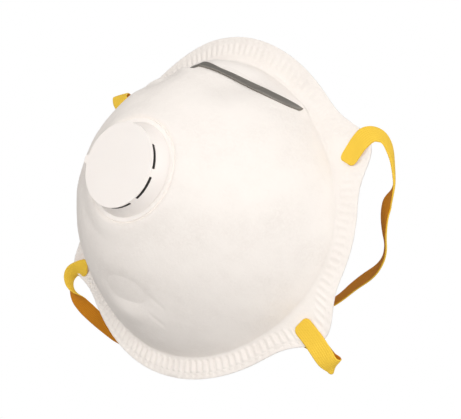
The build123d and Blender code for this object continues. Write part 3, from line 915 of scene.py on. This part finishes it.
def make_valve_cover():
    """Lid over a conical skirt: slots between the ribs except at the top, a lug on the lid's edge. Its
    inner faces carry painted shade: they are painted near black so the slots show dark.
    """
    angles = np.linspace(-math.pi, math.pi, LATHE_COLUMNS, endpoint=False)
    middle = np.degrees(angles + math.pi / LATHE_COLUMNS)
    from_rib = np.abs((middle - FIRST_RIB + 180 / SLOTS) % (360 / SLOTS) - 180 / SLOTS)
    is_rib = (from_rib < RIB_DEGREES / 2) | (np.abs(middle - FIRST_RIB) < CLOSED_HALF)
    outer, inside = cover_profiles(angles)
    centres = [[0, LID_FRONT - LID_CROWN, 0], [0, LID_BACK, 0]]
    points = np.concatenate([lathe_rows(outer, angles).reshape(-1, 3),
                             lathe_rows(inside, angles).reshape(-1, 3), centres])
    cover = mesh_object("valve_cover_moulding", points, cover_faces(is_rib, len(outer), len(inside)))
    bevel(cover, 0.14)
    bar = mesh_object("valve_cover_bar", *block((-5, -53.6, 11.7), (5, LID_BACK + 0.1, 13.1)), smooth=False)
    bevel(bar, 0.15)
    plastic = moulded_plastic("valve_plastic_cover", (0.985, 0.925, 0.88), (0.965, 0.90, 0.855), 0.42)
    # Painted shade: a near-black copy of the cover's plastic for its inner faces, in place of the shade
    # inside the cover.
    painted_shade_plastic = moulded_plastic("valve_plastic_painted_shade", (0.09, 0.085, 0.08), (0.05, 0.047, 0.044), 0.7)
    for piece in (cover, bar):
        give(piece, plastic, painted_shade_plastic)
        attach(piece, "cup")
    # Faces inside the lid and the skirt, which get the painted shade.
    painted_shade_faces = [math.hypot(face.center.x, face.center.z) < (LID_RADIUS - 0.3) * MM
              and face.center.y > (LID_FRONT + 0.35) * MM for face in cover.data.polygons]
    cover.data.polygons.foreach_set("material_index", np.array(painted_shade_faces, np.int32))
    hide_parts("valve_cover")


def block(low, high):
    """Corners and faces of a box in millimetres."""
    points = [(x, y, z) for x in (low[0], high[0]) for y in (low[1], high[1]) for z in (low[2], high[2])]
    faces = [(0, 1, 3, 2), (4, 6, 7, 5), (0, 4, 5, 1), (2, 3, 7, 6), (0, 2, 6, 4), (1, 5, 7, 3)]
    return points, faces


def make_valve_flap():
    """Thin silicone disc with a moulded rim bead, cut straight where the bar holds it."""
    angles = np.linspace(-math.pi, math.pi, 240, endpoint=False)
    chord = FLAP_TOP / np.maximum(np.cos(angles), 0.05)
    edge = np.minimum(FLAP_RADIUS, chord)
    front_y_flap = FLAP_BACK - FLAP_THICKNESS
    shares = (1.0, 0.985, 0.9, 0.7, 0.4, 0.12)
    bead = (0.16, 0.02, 0.02, 0.08, 0.1, 0.1)
    front = [(edge * share, front_y_flap + rise) for share, rise in zip(shares, bead)]
    back = [(edge * share, FLAP_BACK - rise) for share, rise in zip(shares, (0.12, 0.01, 0, 0, 0, 0))]
    rows = front[::-1] + back
    grid = lathe_rows(rows, angles)
    count = len(angles)
    points = np.concatenate([grid.reshape(-1, 3), [[0, front_y_flap + 0.1, 0], [0, FLAP_BACK, 0]]])
    faces = grid_faces(len(rows), count, True)
    last = (len(rows) - 1) * count
    for j in range(count):
        k = (j + 1) % count
        faces.append((j, k, len(points) - 2)[::-1])
        faces.append((last + j, last + k, len(points) - 1))
    flap = mesh_object("valve_flap_disc", points, faces)
    give(flap, silicone())
    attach(flap, "flap")
    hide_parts("valve_flap")


def finish_seat_and_retainer():
    """The seat and the retainer keep their machined CAD shape and get the moulded plastic."""
    plastic = moulded_plastic("valve_plastic_seat", (0.985, 0.93, 0.885), (0.96, 0.905, 0.86), 0.5)
    for node in ("valve_seat", "valve_retainer"):
        give(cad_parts[node], plastic)


make_valve_cover()
make_valve_flap()
finish_seat_and_retainer()

# ---- lights and backdrop --------------------------------------------------------------------------

LIGHT_DISTANCE, LIGHT_DIAMETER = 0.9, 0.5
# Soft boxes round the camera: direction as (right, up, back to the camera), and watts.
SOFT_BOXES = (
    ("upper_right", (0.85, 0.75, 0.45), 0.3),
    ("top", (0.1, 1.0, 0.25), 0.95),
    ("right", (1.0, 0.0, 0.3), 1.5),
    ("left", (-0.9, 0.35, 0.6), 1.5),
    ("front", (0.1, 0.1, 1.0), 3.3),
)
WORLD_STRENGTH = 0.45
FLOOR_SIZE, FLOOR_LEVEL = 3.0, -0.2


def soft_box(name, direction, power):
    """Disc light at a direction seen from the camera, aimed at the middle of the mask."""
    view = bpy.context.scene.camera.matrix_world.to_3x3()
    place = (view @ Vector(direction)).normalized() * LIGHT_DISTANCE
    data = bpy.data.lights.new(name, "AREA")
    data.shape = "DISK"
    data.size = LIGHT_DIAMETER
    data.energy = power
    light = link(bpy.data.objects.new(name, data))
    aim = (-place).to_track_quat("-Z", "Y").to_matrix().to_4x4()
    light.matrix_world = Matrix.Translation(place) @ aim


def make_world():
    """Even pale light that the camera sees as white."""
    scene = bpy.context.scene
    scene.view_settings.view_transform = "Standard"
    world = bpy.data.worlds.new("studio")
    scene.world = world
    world.use_nodes = True
    tree = world.node_tree
    background = tree.nodes["Background"]
    background.inputs["Color"].default_value = (1, 0.985, 0.97, 1)
    background.inputs["Strength"].default_value = WORLD_STRENGTH
    seen = tree.nodes.new("ShaderNodeBackground")
    seen.inputs["Color"].default_value = (1, 1, 1, 1)
    seen.inputs["Strength"].default_value = 1.0
    path = tree.nodes.new("ShaderNodeLightPath")
    mix = tree.nodes.new("ShaderNodeMixShader")
    tree.links.new(path.outputs["Is Camera Ray"], mix.inputs["Fac"])
    tree.links.new(background.outputs["Background"], mix.inputs[1])
    tree.links.new(seen.outputs["Background"], mix.inputs[2])
    tree.links.new(mix.outputs["Shader"], tree.nodes["World Output"].inputs["Surface"])


def make_floor():
    """Grey card below the mask that the camera sees as white."""
    size = FLOOR_SIZE
    corners = [(-size, -size), (size, -size), (size, size), (-size, size)]
    floor = mesh_object("floor", [(x / MM, y / MM, FLOOR_LEVEL / MM) for x, y in corners], [(0, 1, 2, 3)])
    n = Nodes("pale_floor")
    card = n.set(Base_Color=(0.55, 0.545, 0.54), Roughness=0.9)
    glow = n.add("ShaderNodeEmission")
    glow.inputs["Color"].default_value = (1, 1, 1, 1)
    path = n.add("ShaderNodeLightPath")
    both = n.add("ShaderNodeMixShader")
    n.link(path.outputs["Is Camera Ray"], both.inputs["Fac"])
    n.link(n.shader.outputs["BSDF"], both.inputs[1])
    n.link(glow.outputs["Emission"], both.inputs[2])
    n.link(both.outputs["Shader"], n.tree.nodes["Material Output"].inputs["Surface"])
    give(floor, card)


make_world()
make_floor()
for box in SOFT_BOXES:
    soft_box(*box)
